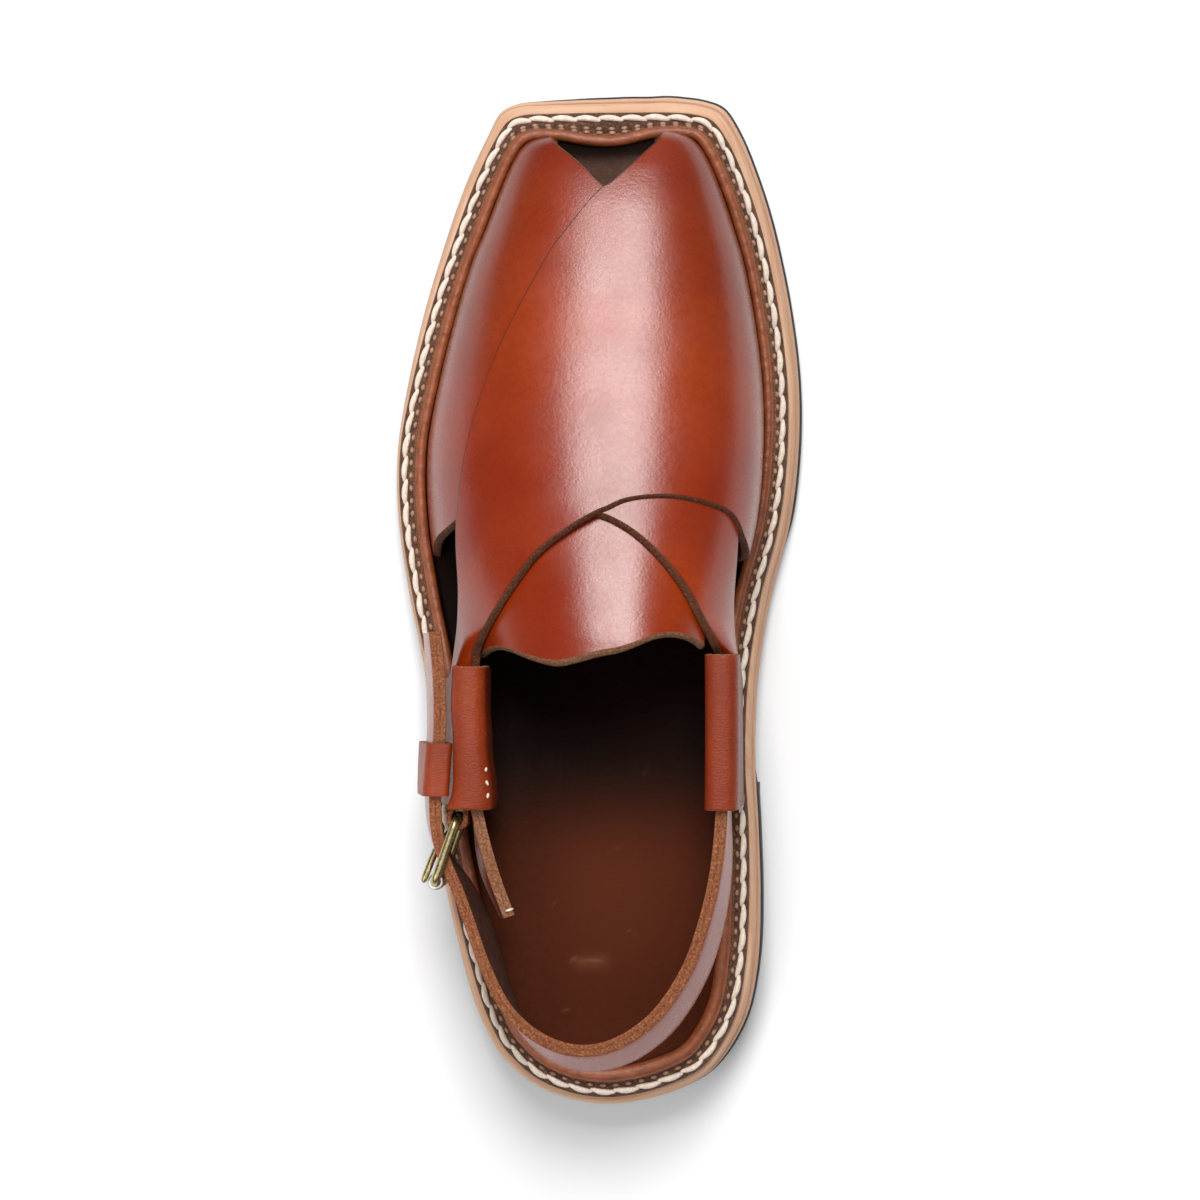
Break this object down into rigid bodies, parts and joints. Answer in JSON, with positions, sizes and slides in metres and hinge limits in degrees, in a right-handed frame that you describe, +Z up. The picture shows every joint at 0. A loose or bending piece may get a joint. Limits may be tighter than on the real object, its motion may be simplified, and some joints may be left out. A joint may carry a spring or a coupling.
{
  "type": "peshawari chappal",
  "caption": "Left peshawari chappal: leather sandal with two wide straps crossed over the foot, stitched welt, stacked sole, low heel and buckled back strap",
  "frame": {"origin": "on the ground under the middle of the shoe's bounding box", "axes": "+Y from heel to toe, +X to the inner (medial) side, -X to the outer side with the buckle, +Z up"},
  "size_m": [0.1201, 0.296, 0.0748],
  "materials": {
    "rubber_black": "matt black rubber",
    "leather_tan": "natural tan leather, sanded edge",
    "leather_dark": "dark brown leather, stitched in cream thread",
    "leather_edge": "brown leather, raw fibrous edges",
    "leather_footbed": "dark brown leather footbed, half gloss",
    "leather_brown": "smooth reddish brown leather, glossy",
    "brass_antique": "antique brass"
  },
  "bodies": {
    "root": {"outsole": "rubber_black", "heel": "rubber_black", "midsole_lower": "leather_tan", "midsole_upper": "leather_tan", "welt": "leather_dark", "piping": "leather_edge", "insole": "leather_footbed", "upper": "leather_brown", "tongue": "leather_brown", "back_strap": "leather_brown", "buckle_strap": "leather_edge", "keeper": "leather_brown", "buckle_frame": "brass_antique", "buckle_roller": "brass_antique", "buckle_prong": "brass_antique"}
  },
  "joints": []
}
